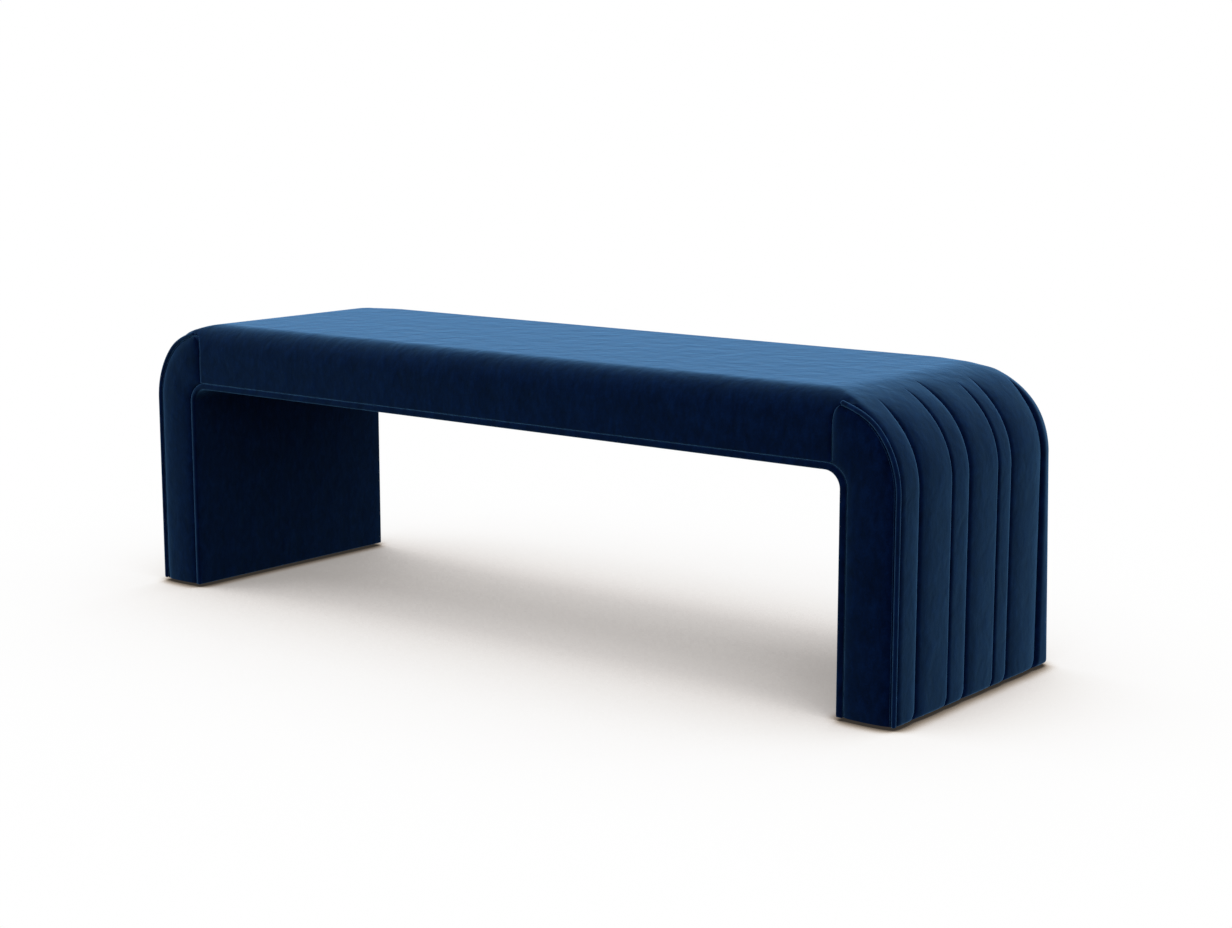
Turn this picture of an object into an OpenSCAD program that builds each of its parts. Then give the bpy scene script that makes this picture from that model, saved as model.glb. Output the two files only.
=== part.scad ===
// Upholstered waterfall bench: a velvet seat that turns down over a round shoulder
// into a padded leg at each end. Millimetres, +Z up, +X along the bench, the front
// is -Y, and the origin is on the floor under the middle of the bench.

/* [Overall size] */
// Length over both ends
bench_l = 1500; // [1200:10:1800]
// Depth from front to back
bench_d = 450; // [390:10:540]
// Height of the seat
bench_h = 460; // [420:5:520]
// Thickness of each leg
leg_t = 95; // [90:1:120]
// Thickness of the seat, from its top to its underside
seat_t = 110; // [104:1:135]
// Outer radius of each shoulder
shoulder_r = 135; // [125:1:155]
// Radius of the inner corner between seat and leg
opening_r = 25; // [15:1:30]

/* [Covers and padding] */
// Thickness of the velvet cover
cover_t = 2; // [1:0.5:3]
// Thickness of the wadding between velvet and foam
wadding_t = 8; // [6:1:10]
// Thickness of the seat foam
seat_foam_t = 35; // [25:1:40]
// Thickness of the foam on the outside of a leg
end_foam_t = 12; // [8:1:16]
// Thickness of the foam pad on a leg's front or back
facing_foam_t = 6; // [4:0.5:7]
// How far a leg facing reaches in past the leg's inner face
facing_reach = 15; // [10:1:20]
// How much lower a facing is at its edges than in its middle
facing_crown = 2; // [1:0.5:3]
// Rounding of the liner's edges
liner_edge_r = 4; // [2.5:0.5:6]
// Diameter of the piping round each facing
piping_d = 7; // [5:0.5:8]
// Gap between soft pieces that lie on each other
soft_gap = 0.3; // [0.2:0.1:0.5]

/* [Sewn channels] */
// Width of the first channel, at the front edge
front_channel = 59; // [40:1:72]
// Width of the last channel, at the back edge
back_channel = 40; // [34:1:56]
// Depth of a strong seam
strong_seam = 6; // [3:0.5:7]
// Depth of a faint seam
faint_seam = 2.5; // [1:0.5:4]
// Half the width that a strong seam rounds off
strong_round = 10; // [6:1:12]
// Half the width that a faint seam rounds off
faint_round = 6; // [4:1:8]

/* [Frame] */
// Thickness of the ribs and rails
rib_t = 18; // [15:1:22]
// Thickness of the plywood seat deck
deck_t = 12; // [9:1:15]
// Thickness of the bent plywood end skin
skin_t = 6; // [4:1:8]
// Thickness of the liner board inside the opening
liner_board_t = 8; // [6:1:10]
// Length of the arm of a rib beyond the shoulder arc
rib_arm = 98; // [80:1:130]
// Length of the half lap between rib and seat rail
lap_l = 80; // [60:1:90]
// Height of the rail at the bottom of a leg
foot_rail_h = 40; // [30:1:60]
// Distance between neighbouring cross slats of the seat
slat_pitch = 300; // [200:10:320]
// Diameter of the vent holes in the deck
vent_d = 20; // [10:1:30]
// Leg length of the triangular corner blocks
block_l = 45; // [30:1:50]

/* [Fasteners and feet] */
// Shank diameter of the frame screws
screw_d = 5; // [4:0.5:6]
// Length of the screws that hold the cross rails
rail_screw_l = 50; // [40:1:60]
// Length of the screws through the half laps
lap_screw_l = 16; // [12:1:17]
// Shank diameter of the deck and liner screws
board_screw_d = 4; // [3:0.5:4.5]
// Length of the deck and liner screws
board_screw_l = 30; // [22:1:35]
// Gap round a screw or nail in its hole
screw_gap = 0.1; // [0.05:0.05:0.2]
// Height of the hidden glides under the legs
glide_h = 5; // [4:0.5:8]
// Diameter of the glides
glide_d = 30; // [20:1:40]
// Distance of a glide's centre from the front or back of the bench
glide_inset = 45; // [35:1:80]
// Shank diameter of a glide nail
nail_d = 2.5; // [2:0.1:3]
// Length of a glide nail
nail_l = 24; // [18:1:30]
// Height of a glide nail's head
nail_head_h = 1; // [0.5:0.5:1.5]
// Thickness of the dust cover under each leg
dust_t = 2; // [1:0.5:2.5]

/* [Hidden] */
$fn = 96;
half_l = bench_l / 2;
half_d = bench_d / 2;
skin_soft_t = cover_t + wadding_t;
edge_r = seat_foam_t + skin_soft_t;
under_z = bench_h - seat_t;
leg_in = half_l - leg_t;
liner_t = liner_board_t + cover_t;
frame_in = leg_in + liner_t;
rail_z0 = under_z + liner_t;
deck_z1 = bench_h - edge_r;
deck_z0 = deck_z1 - deck_t;
skirt_z = glide_h;
frame_z = skirt_z + dust_t;
shoulder_x = half_l - shoulder_r;
shoulder_z = bench_h - shoulder_r;
skin_out = half_l - skin_soft_t - end_foam_t;
skin_in = skin_out - skin_t;
skin_r = deck_z1 - shoulder_z;
skin_x = skin_out - skin_r;
corner_x = leg_in - opening_r;
corner_z = under_z - opening_r;
rib_y = half_d - skin_soft_t;
rib_in_y = rib_y - rib_t;
arm_x = skin_x - rib_arm;
facing_x = leg_in - facing_reach;
facing_back_y = rib_y + facing_foam_t;
panel_y = half_d - piping_d;
glide_x = (frame_in + skin_in) / 2;
glide_y = half_d - glide_inset;
slat_count = 3;
nail_head_d = 3 * nail_d;
far = bench_l + bench_h;
eps = 0.01;

// Cross rails of a leg in the X-Z plane: [x0, x1, z0, z1]
deck_rail_box = [skin_x - rib_t, skin_x + rib_t, rail_z0, deck_z1];
shoulder_rail_box = [skin_in - 2 * rib_t, skin_in, shoulder_z, shoulder_z + 2 * rib_t];
middle_rail_z = (frame_z + rail_z0) / 2;
middle_rail_box = [frame_in, skin_in, middle_rail_z - rib_t / 2, middle_rail_z + rib_t / 2];
foot_rail_box = [frame_in, skin_in, frame_z, frame_z + foot_rail_h];

// Screws and vent holes. Two screws hold each joint, at these shares of its length.
screw_shares = [0.27, 0.73];
function spread(a, b) = [for (t = screw_shares) a + t * (b - a)];
shoulder_screw_x = skin_in - 1.4 * rib_t;
leg_screws = concat(
    [for (z = spread(rail_z0, deck_z0)) [skin_x, z]],
    [for (z = spread(shoulder_z, shoulder_rail_box[3])) [shoulder_screw_x, z]],
    [for (x = spread(frame_in, skin_in)) [x, middle_rail_z]],
    [for (x = spread(frame_in, skin_in)) [x, frame_z + foot_rail_h / 2]]);
lap_end_x = arm_x + lap_l;
lap_screws = [for (x = spread(arm_x, lap_end_x)) [x, (rail_z0 + deck_z0) / 2]];
slat_xs = [for (i = [0 : slat_count - 1]) (i - (slat_count - 1) / 2) * slat_pitch];
slat_screws = [for (x = slat_xs, z = spread(rail_z0, deck_z0)) [x, z]];
bay_xs = [for (i = [0 : slat_count]) (i - slat_count / 2) * slat_pitch];
deck_screws = [for (x = bay_xs) [x, rib_y - rib_t / 2]];
liner_screws = [for (x = slat_xs) [x, rib_in_y / 2]];
vents = [for (x = bay_xs) [x, rib_in_y / 2]];

// The channels: distance of each seam from the front of the bench, its depth, its
// rounding, and the angle on the shoulder at which it starts (90 is the top)
field_l = bench_d - front_channel - back_channel;
seam_share = [0, 0.245, 0.387, 0.617, 0.733, 1];
seam_strong = [true, false, true, false, true, true];
seam_start = [65, 71, 76, 67, 67, 61];
seam_grow = 24;
seam_y = [for (s = seam_share) front_channel + s * field_l - half_d];
function seam_depth(i) = seam_strong[i] ? strong_seam : faint_seam;
function seam_round(i) = seam_strong[i] ? strong_round : faint_round;

// A round edge's drop at the distance s in from the edge, for a rounding of width w
// and depth e, and a smooth step from 0 to 1
function round_drop(s, w, e) = s >= w ? 0 : e * (1 - sqrt(1 - pow(1 - s / w, 2)));
function smooth(t) = let (c = max(0, min(1, t))) c * c * (3 - 2 * c);

// Depth of the sewn channels at the place y and the shoulder angle a
function channel_depth(y, a) = max([for (i = [0 : len(seam_y) - 1])
    round_drop(abs(y - seam_y[i]), seam_round(i), seam_depth(i))
    * smooth((seam_start[i] - a) / seam_grow)]);

// Places across the end panel where the channels are sampled, from front to back.
// The ones near each edge are moved with that edge: three at its rounding, and three
// shares of the way from there to the first or last seam's rounding.
function edge_steps(channel) = let (w = channel - piping_d - soft_gap - strong_round)
    concat([0, 0.8, 4], [for (t = [0.3, 0.58, 0.82]) t * w]);
front_steps = edge_steps(front_channel);
back_steps = edge_steps(back_channel);
edge_n = len(front_steps);
function seam_steps(i) = seam_strong[i]
    ? [for (k = [-1, -0.4, -0.12, 0, 0.12, 0.4, 1]) seam_y[i] + k * strong_round]
    : [for (k = [-1, -0.3, 0, 0.3, 1]) seam_y[i] + k * faint_round];
inner_ys = [for (i = [0 : len(seam_y) - 1]) each seam_steps(i)];

// The end panel is lofted through rings. A ring is [x, z, down, drop, round, reach,
// side, angle, bottom]: its point on the outer arc, the direction in from there,
// the drop and width of its rounded edges, its half depth, how far its inner edge
// stands back from that, the angle on the shoulder and the extra bottom rounding.
facing_top_a = 71;
tail_x = shoulder_x + (shoulder_r - piping_d) * cos(facing_top_a);
tail_z = shoulder_z + (shoulder_r - piping_d) * sin(facing_top_a);
function facing_tail(p) = [facing_x + (tail_x - facing_x) * (1 - cos(p)),
    deck_z1 + (tail_z - deck_z1) * sin(p)];
function arc_z(x) = shoulder_z + sqrt(pow(shoulder_r, 2) - pow(x - shoulder_x, 2));
end_edge_drop = 3;
end_edge_w = 5;
arc_steps = 7;
arc_step = facing_top_a / arc_steps;
facet_gap = (shoulder_r - skin_soft_t) * (1 - cos(arc_step / 2));
bottom_round = 7;
bottom_drop = 4;
function upright_ring(x, t) = let (z = arc_z(x)) [x, z, [0, -1],
    z - deck_z1 - soft_gap, edge_r + (end_edge_w - edge_r) * t, half_d, skin_soft_t,
    atan2(z - shoulder_z, x - shoulder_x), 0];
function tail_ring() = let (x = (facing_x + tail_x) / 2 + soft_gap, z = arc_z(x),
    e = facing_tail(45), d = norm([e[0] - x, e[1] - z]))
    [x, z, [(e[0] - x) / d, (e[1] - z) / d], d - soft_gap, 2 * end_edge_w,
    (half_d + panel_y) / 2, skin_soft_t / 2, atan2(z - shoulder_z, x - shoulder_x), 0];
function arc_ring(a) = [shoulder_x + shoulder_r * cos(a), shoulder_z + shoulder_r * sin(a),
    [-cos(a), -sin(a)], end_edge_drop, end_edge_w, panel_y - soft_gap, 0, a, 0];
function leg_ring(z, b) = [half_l, z, [-1, 0], end_edge_drop, end_edge_w,
    panel_y - soft_gap, 0, 0, b];
rings = concat(
    [upright_ring(shoulder_x + soft_gap, 0),
     upright_ring((shoulder_x + facing_x) / 2, 0.4), upright_ring(facing_x, 0.75),
     tail_ring()],
    [for (i = [arc_steps : -1 : 0]) arc_ring(i * arc_step)],
    [leg_ring(skirt_z + 2 * bottom_round, 0),
     leg_ring(skirt_z + bottom_round / 2, round_drop(bottom_round / 2, bottom_round, bottom_drop)),
     leg_ring(skirt_z, bottom_drop)]);
function ring_point(r, y, depth) = [r[0] + r[2][0] * depth, y, r[1] + r[2][1] * depth];
function outer_ring(r) = concat(
    [for (s = front_steps) ring_point(r, s - r[5], round_drop(s, r[4], r[3]) + r[8])],
    [for (y = inner_ys) ring_point(r, y, max(channel_depth(y, r[7]),
        round_drop(r[5] - abs(y), r[4], r[3])) + r[8])],
    [for (i = [edge_n - 1 : -1 : 0]) let (s = back_steps[i])
        ring_point(r, r[5] - s, round_drop(s, r[4], r[3]) + r[8])]);
inner_step = 22.5;
inner_turns = [0, 0.5 * inner_step, 1.5 * inner_step, 2.5 * inner_step, 3.5 * inner_step, 90];
function inner_half(r) = let (t = skin_soft_t - soft_gap - facet_gap,
    w = max(r[4] - skin_soft_t, eps) + soft_gap, e = max(r[3] - t, 0))
    [for (p = inner_turns) let (k = p == 0 || p == 90 ? 1 : 1 / cos(inner_step / 2))
        [r[5] - r[6] - w * (1 - k * cos(p)), t + e * (1 - k * sin(p))]];
function inner_ring(r) = let (h = inner_half(r), n = len(inner_turns)) concat(
    [for (i = [0 : n - 1]) ring_point(r, h[i][0], h[i][1])],
    [for (i = [n - 1 : -1 : 0]) ring_point(r, -h[i][0], h[i][1])]);
function loop_ring(r) = concat(outer_ring(r), inner_ring(r));
outer_n = 2 * edge_n + len(inner_ys);
inner_n = 2 * len(inner_turns);
loop_n = outer_n + inner_n;

// A facing cover is a grid: each row is [left point, right point] in the X-Z plane.
// Its rows go up from the floor, round the opening's corner, up the seat's front and
// round its rounding. Its right side follows the piping, by the angle on the shoulder.
foot_steps = [0, 3, 12];
lip_steps = 4;
tail_steps = [45, 75, 84];
lip_side = 40;
deck_side = 56;
lip_r = (opening_r + liner_t + soft_gap) / cos(45 / lip_steps);
lip_a = acos((facing_x + soft_gap - corner_x) / lip_r);
cover_arc = shoulder_r - piping_d - soft_gap;
function cover_side(a) = [shoulder_x + cover_arc * cos(a), shoulder_z + cover_arc * sin(a)];
function foot_row(h) = [[frame_in + soft_gap, skirt_z + h], [shoulder_x + cover_arc, skirt_z + h]];
function lip_row(t) = [[corner_x + lip_r * cos(lip_a * t), corner_z + lip_r * sin(lip_a * t)],
    cover_side(lip_side * t)];
function seam_row(z, a) = [[facing_x + soft_gap, z], cover_side(a)];
function tail_row(p) = [facing_tail(p) + [soft_gap, 0],
    cover_side(deck_side + (facing_top_a - deck_side) * p / 90)];
facing_rows = concat(
    [for (h = foot_steps) foot_row(h)],
    [for (i = [0 : lip_steps]) lip_row(i / lip_steps)],
    [seam_row((rail_z0 + deck_z1) / 2, (lip_side + deck_side) / 2), seam_row(deck_z1, deck_side)],
    [for (p = tail_steps) tail_row(p)]);

// The cover's crown: how much of it each row has, and each place across a row
function crown(t) = sqrt(1 - pow(1 - min(1, t), 2));
tail_crown_reach = 60;
row_crowns = concat(
    [for (h = foot_steps) crown(h / foot_steps[2])],
    [for (i = [0 : lip_steps + 2]) 1],
    [for (p = tail_steps) crown((tail_steps[2] - p) / tail_crown_reach)]);
facing_us = [0, 0.04, 0.13, 0.35, 0.65, 0.87, 0.96, 1];
crown_reach = 0.35;
function facing_rise(u) = crown(min(u, 1 - u) / crown_reach);

// Placing. The right end and the front are modelled, and the others are mirrored.
module on_side(right) {
    if (right) children();
    else mirror([1, 0, 0]) children();
}
module at_back(back) {
    if (back) mirror([0, 1, 0]) children();
    else children();
}
module on_all_legs() {
    for (right = [false, true], back = [false, true])
        on_side(right) at_back(back) children();
}
// Extrudes an X-Z outline from y0 to y1
module across(y0, y1) {
    translate([0, y1, 0]) rotate([90, 0, 0]) linear_extrude(y1 - y0) children();
}
// Extrudes a Y-Z outline from x0 to x1
module along(x0, x1) {
    translate([x0, 0, 0]) rotate([90, 0, 90]) linear_extrude(x1 - x0) children();
}
module rect(x0, x1, y0, y1) {
    translate([x0, y0]) square([x1 - x0, y1 - y0]);
}
module box_at(x0, x1, y0, y1, z0, z1) {
    translate([x0, y0, z0]) cube([x1 - x0, y1 - y0, z1 - z0]);
}
// Swings a [radius, y] outline a quarter turn, from level outward to straight up
module quarter_swing(x, z) {
    translate([x, 0, z]) rotate([90, 0, 0]) rotate_extrude(angle = 90) children();
}

// Outlines in the X-Z plane, right half
module opening_outline(grow) {
    rect(0, leg_in + grow, -far, corner_z);
    rect(0, corner_x, -far, under_z + grow);
    translate([corner_x, corner_z]) circle(opening_r + grow);
}
module end_outline(inset) {
    rect(0, half_l - inset, 0, shoulder_z);
    rect(0, shoulder_x, 0, bench_h - inset);
    translate([shoulder_x, shoulder_z]) circle(shoulder_r - inset);
}
module skin_outline(inset) {
    rect(0, skin_out - inset, 0, shoulder_z);
    rect(0, skin_x, 0, deck_z1 - inset);
    translate([skin_x, shoulder_z]) circle(skin_r - inset);
}
module frame_outline() {
    difference() {
        union() {
            intersection() {
                skin_outline(skin_t);
                rect(skin_x, far, frame_z, far);
            }
            rect(arm_x, skin_x + eps, rail_z0, deck_z0);
        }
        opening_outline(liner_t);
    }
}
module seat_outline(inset) {
    r = edge_r - inset;
    rect(-(half_d - inset), half_d - inset, rail_z0, deck_z1);
    rect(-(half_d - edge_r), half_d - edge_r, deck_z1, bench_h - inset);
    for (s = [-1, 1]) translate([s * (half_d - edge_r), deck_z1]) circle(r);
}
module seat_shell_outline(outer, inner) {
    difference() {
        seat_outline(outer);
        seat_outline(inner);
        rect(-far, far, -far, rail_z0);
    }
}

// Fasteners. A screw lies along +Z with its flat head at the top, at z = 0.
module screw(d, l, gap = 0) {
    head_h = d / 2;
    translate([0, 0, -l - gap]) cylinder(h = l + gap, d = d + 2 * gap);
    translate([0, 0, -head_h - gap]) cylinder(h = head_h + gap, d1 = d + 2 * gap, d2 = 2 * d + 2 * gap);
}
// Screws through the front rib into the cross rails, and into the seat slats
module front_screws(places, l, gap = 0) {
    for (p = places) translate([p[0], -rib_y, p[1]]) rotate([90, 0, 0]) screw(screw_d, l, gap);
}
module lap_screw_set(gap = 0) {
    for (p = lap_screws) translate([p[0], -rib_in_y, p[1]]) rotate([-90, 0, 0])
        screw(board_screw_d, lap_screw_l, gap);
}
module deck_screw_set(gap = 0) {
    for (p = deck_screws, s = [-1, 1]) translate([p[0], s * p[1], deck_z1])
        screw(board_screw_d, board_screw_l, gap);
}
module liner_screw_set(gap = 0) {
    for (p = liner_screws, s = [-1, 1])
        translate([p[0], s * p[1], under_z + cover_t]) rotate([180, 0, 0])
            screw(board_screw_d, board_screw_l, gap);
}
module nail_set(gap = 0) {
    for (s = [-1, 1]) translate([glide_x, s * glide_y, glide_h / 2]) {
        translate([0, 0, -nail_head_h - gap])
            cylinder(h = nail_head_h + 2 * gap, d = nail_head_d + 2 * gap);
        cylinder(h = nail_l + gap, d = nail_d + 2 * gap);
    }
}

// Frame
module seat_rail() {
    color("burlywood") difference() {
        box_at(-lap_end_x, lap_end_x, -rib_y, -rib_in_y, rail_z0, deck_z0);
        for (s = [-1, 1]) on_side(s > 0) {
            box_at(arm_x, far, -rib_y - eps, -rib_y + rib_t / 2, 0, far);
            lap_screw_set(screw_gap);
        }
        front_screws(slat_screws, rail_screw_l, screw_gap);
        deck_screw_set(screw_gap);
    }
}
module seat_slat(i) {
    color("burlywood") difference() {
        box_at(slat_xs[i] - rib_t / 2, slat_xs[i] + rib_t / 2, -rib_in_y, rib_in_y, rail_z0, deck_z0);
        for (back = [false, true]) at_back(back) front_screws(slat_screws, rail_screw_l, screw_gap);
        liner_screw_set(screw_gap);
    }
}
module rib() {
    color("tan") difference() {
        across(-rib_y, -rib_in_y) frame_outline();
        box_at(0, lap_end_x, -rib_y + rib_t / 2, 0, 0, far);
        front_screws(leg_screws, rail_screw_l, screw_gap);
        lap_screw_set(screw_gap);
        deck_screw_set(screw_gap);
    }
}
// A rail between the two ribs of a leg, cut to the rib's outline
module cross_rail(b) {
    color("burlywood") difference() {
        across(-rib_in_y, rib_in_y) intersection() {
            frame_outline();
            rect(b[0], b[1], b[2], b[3]);
        }
        for (back = [false, true]) at_back(back) front_screws(leg_screws, rail_screw_l, screw_gap);
        nail_set(screw_gap);
    }
}
module seat_deck() {
    color("wheat") difference() {
        box_at(-skin_x, skin_x, -rib_y, rib_y, deck_z0, deck_z1);
        deck_screw_set(screw_gap);
        for (v = vents, s = [-1, 1]) translate([v[0], s * v[1], 0]) cylinder(h = far, d = vent_d);
    }
}
module end_skin() {
    color("wheat") across(-rib_y, rib_y) difference() {
        intersection() {
            skin_outline(0);
            rect(skin_x, far, frame_z, far);
        }
        skin_outline(skin_t);
    }
}
module leg_liner_board() {
    color("wheat")
        box_at(leg_in + cover_t, frame_in, -(half_d - cover_t), half_d - cover_t, frame_z, corner_z);
}
module corner_cove() {
    color("wheat") quarter_swing(corner_x, corner_z)
        rect(opening_r + cover_t, opening_r + liner_t, -(half_d - cover_t), half_d - cover_t);
}
module seat_liner_board() {
    color("wheat") difference() {
        box_at(-corner_x, corner_x, -(half_d - cover_t), half_d - cover_t, under_z + cover_t, rail_z0);
        liner_screw_set(screw_gap);
    }
}
module corner_blocks() {
    color("burlywood") on_all_legs() translate([deck_rail_box[0], -rib_in_y, rail_z0])
        linear_extrude(deck_z0 - rail_z0) polygon([[0, 0], [-block_l, 0], [0, block_l]]);
}

// Feet
module glides() {
    color("dimgray") for (right = [false, true]) on_side(right) difference() {
        for (s = [-1, 1]) translate([glide_x, s * glide_y, 0])
            cylinder(h = glide_h, d = glide_d);
        nail_set(screw_gap);
        for (s = [-1, 1]) translate([glide_x, s * glide_y, -eps])
            cylinder(h = glide_h / 2, d = nail_head_d + 2 * screw_gap);
    }
}
module dust_cover() {
    color("black") difference() {
        box_at(leg_in + cover_t, half_l - skin_soft_t, -rib_y, rib_y, skirt_z, frame_z);
        nail_set(screw_gap);
    }
}

// Upholstery of the seat
module seat_foam() {
    color("khaki") along(-shoulder_x, shoulder_x) intersection() {
        seat_outline(skin_soft_t);
        rect(-far, far, deck_z1, far);
    }
}
module seat_layer(outer, inner) {
    along(-shoulder_x, shoulder_x) seat_shell_outline(outer, inner);
    for (s = [-1, 1]) on_side(s > 0) for (back = [false, true]) at_back(back)
        box_at(shoulder_x - eps, facing_x, -(half_d - outer), -(half_d - inner), rail_z0, deck_z1);
}
module seat_wadding() {
    color("ivory") seat_layer(cover_t, skin_soft_t);
}
module seat_cover() {
    color("midnightblue") seat_layer(0, cover_t);
}

// Upholstery of the ends
module shoulder_foam() {
    color("khaki") intersection() {
        across(-rib_y, rib_y) difference() {
            end_outline(skin_soft_t);
            skin_outline(0);
            rect(-far, shoulder_x, -far, far);
            rect(-far, far, -far, shoulder_z);
            rect(-far, skin_x, -far, deck_z1);
        }
        union() {
            along(shoulder_x - eps, tail_x) seat_outline(skin_soft_t);
            box_at(tail_x - eps, far, -rib_y, rib_y, 0, far);
        }
    }
}
module end_foam() {
    color("khaki") box_at(skin_out, half_l - skin_soft_t, -rib_y, rib_y, frame_z, shoulder_z);
}
module end_panel() {
    m = len(rings);
    color("midnightblue") polyhedron(
        points = [for (r = rings) each loop_ring(r)],
        faces = concat(
            [for (k = [0 : m - 2], i = [0 : loop_n - 1]) let (j = (i + 1) % loop_n, a = k * loop_n)
                each [[a + i, a + j, a + loop_n + i], [a + j, a + loop_n + j, a + loop_n + i]]],
            end_faces(0, false), end_faces((m - 1) * loop_n, true)));
}
// Closes an end ring with a strip of triangles between its outer and inner points
function end_faces(a, last) = [for (f = end_strip()) last
    ? [a + f[0], a + f[1], a + f[2]] : [a + f[0], a + f[2], a + f[1]]];
function end_strip() = let (n = inner_n) concat(
    [for (j = [0 : n - 2]) let (i = strip_at(j)) [i, loop_n - 2 - j, loop_n - 1 - j]],
    [for (j = [0 : n - 1]) let (i0 = j == 0 ? 0 : strip_at(j - 1),
        i1 = j == n - 1 ? outer_n - 1 : strip_at(j))
        each [for (i = [i0 : 1 : i1 - 1]) [i, i + 1, loop_n - 1 - j]]]);
function strip_at(j) = floor((j + 1) * (outer_n - 1) / inner_n);

module facing_foam() {
    gap = soft_gap;
    color("khaki") across(-facing_back_y, -rib_y) difference() {
        end_outline(skin_soft_t + gap);
        opening_outline(liner_t + gap);
        rect(-far, facing_x + gap, -far, far);
        rect(-far, far, -far, frame_z);
        polygon([[0, deck_z1 - gap], [facing_x, deck_z1 - gap], [tail_x, tail_z - gap],
            [tail_x, far], [0, far]]);
    }
}
module facing_cover() {
    rows = len(facing_rows);
    cols = len(facing_us);
    n = rows * cols;
    back_y = facing_back_y + soft_gap;
    edge_y = half_d - facing_crown;
    flat = [for (k = [0 : rows - 1], u = facing_us)
        let (p = facing_rows[k][0] * (1 - u) + facing_rows[k][1] * u)
        [p[0], -(edge_y + facing_crown * facing_rise(u) * row_crowns[k]), p[1]]];
    color("midnightblue") polyhedron(
        points = concat(flat, [for (p = flat) [p[0], -back_y, p[2]]]),
        faces = concat(
            [for (k = [0 : rows - 2], j = [0 : cols - 2]) let (a = k * cols + j)
                each [[a, a + cols, a + 1], [a + 1, a + cols, a + cols + 1],
                    [n + a, n + a + 1, n + a + cols], [n + a + 1, n + a + cols + 1, n + a + cols]]],
            [for (k = [0 : rows - 2]) let (a = k * cols, b = a + cols - 1)
                each [[a, n + a, a + cols], [n + a, n + a + cols, a + cols],
                    [b, b + cols, n + b], [n + b, b + cols, n + b + cols]]],
            [for (j = [0 : cols - 2]) let (b = (rows - 1) * cols + j)
                each [[j, j + 1, n + j], [j + 1, n + j + 1, n + j],
                    [b, n + b, b + 1], [b + 1, n + b, n + b + 1]]]));
}
module piping() {
    r = piping_d / 2;
    color("midnightblue") {
        translate([shoulder_x, -half_d + r, shoulder_z]) rotate([90, 0, 0])
            rotate_extrude(angle = facing_top_a) translate([shoulder_r - r, 0]) circle(r);
        translate([half_l - r, -half_d + r, skirt_z]) cylinder(h = shoulder_z - skirt_z, r = r);
    }
}

// Upholstery of the liner: velvet over the boards, turned round their edges
module liner_section() {
    translate([0, -half_d]) difference() {
        round_rect(0, liner_t, 0, bench_d, liner_edge_r);
        round_rect(cover_t, far, cover_t, bench_d - cover_t, 0);
    }
}
module round_rect(x0, x1, y0, y1, r) {
    if (r > 0) {
        rect(x0 + r, x1, y0, y1);
        rect(x0, x1, y0 + r, y1 - r);
        for (y = [y0 + r, y1 - r]) translate([x0 + r, y]) circle(r);
    } else rect(x0, x1, y0, y1);
}
module liner_cover() {
    color("midnightblue") {
        for (right = [false, true]) on_side(right) {
            translate([leg_in, 0, skirt_z]) linear_extrude(corner_z - skirt_z) liner_section();
            quarter_swing(corner_x, corner_z) translate([opening_r, 0]) liner_section();
        }
        translate([-corner_x, 0, under_z]) rotate([0, 90, 0]) rotate([0, 0, 180])
            linear_extrude(2 * corner_x) liner_section();
    }
}

seat_rail();  // front_seat_rail
at_back(true) seat_rail();  // back_seat_rail
seat_slat(0);  // seat_slat_left
seat_slat(1);  // seat_slat_middle
seat_slat(2);  // seat_slat_right
seat_deck();
seat_liner_board();
on_side(false) rib();  // rib_left_front
on_side(false) at_back(true) rib();  // rib_left_back
rib();  // rib_right_front
at_back(true) rib();  // rib_right_back
on_side(false) cross_rail(deck_rail_box);  // deck_rail_left
cross_rail(deck_rail_box);  // deck_rail_right
on_side(false) cross_rail(shoulder_rail_box);  // shoulder_rail_left
cross_rail(shoulder_rail_box);  // shoulder_rail_right
on_side(false) cross_rail(middle_rail_box);  // middle_rail_left
cross_rail(middle_rail_box);  // middle_rail_right
on_side(false) cross_rail(foot_rail_box);  // foot_rail_left
cross_rail(foot_rail_box);  // foot_rail_right
on_side(false) end_skin();  // end_skin_left
end_skin();  // end_skin_right
on_side(false) leg_liner_board();  // leg_liner_board_left
leg_liner_board();  // leg_liner_board_right
on_side(false) corner_cove();  // corner_cove_left
corner_cove();  // corner_cove_right
corner_blocks();
color("silver") on_all_legs() front_screws(leg_screws, rail_screw_l);  // rail_screws
color("silver") for (back = [false, true]) at_back(back) front_screws(slat_screws, rail_screw_l);
color("silver") on_all_legs() lap_screw_set();  // lap_screws
color("silver") deck_screw_set();  // deck_screws
color("silver") liner_screw_set();  // liner_screws
glides();
color("silver") for (right = [false, true]) on_side(right) nail_set();  // glide_nails
on_side(false) dust_cover();  // dust_cover_left
dust_cover();  // dust_cover_right
seat_foam();
seat_wadding();
seat_cover();
on_side(false) shoulder_foam();  // shoulder_foam_left
shoulder_foam();  // shoulder_foam_right
on_side(false) end_foam();  // end_foam_left
end_foam();  // end_foam_right
on_side(false) end_panel();  // end_panel_left
end_panel();  // end_panel_right
on_side(false) facing_foam();  // facing_foam_left_front
on_side(false) at_back(true) facing_foam();  // facing_foam_left_back
facing_foam();  // facing_foam_right_front
at_back(true) facing_foam();  // facing_foam_right_back
on_side(false) facing_cover();  // facing_cover_left_front
on_side(false) at_back(true) facing_cover();  // facing_cover_left_back
facing_cover();  // facing_cover_right_front
at_back(true) facing_cover();  // facing_cover_right_back
on_side(false) piping();  // piping_left_front
on_side(false) at_back(true) piping();  // piping_left_back
piping();  // piping_right_front
at_back(true) piping();  // piping_right_back
liner_cover();
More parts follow.
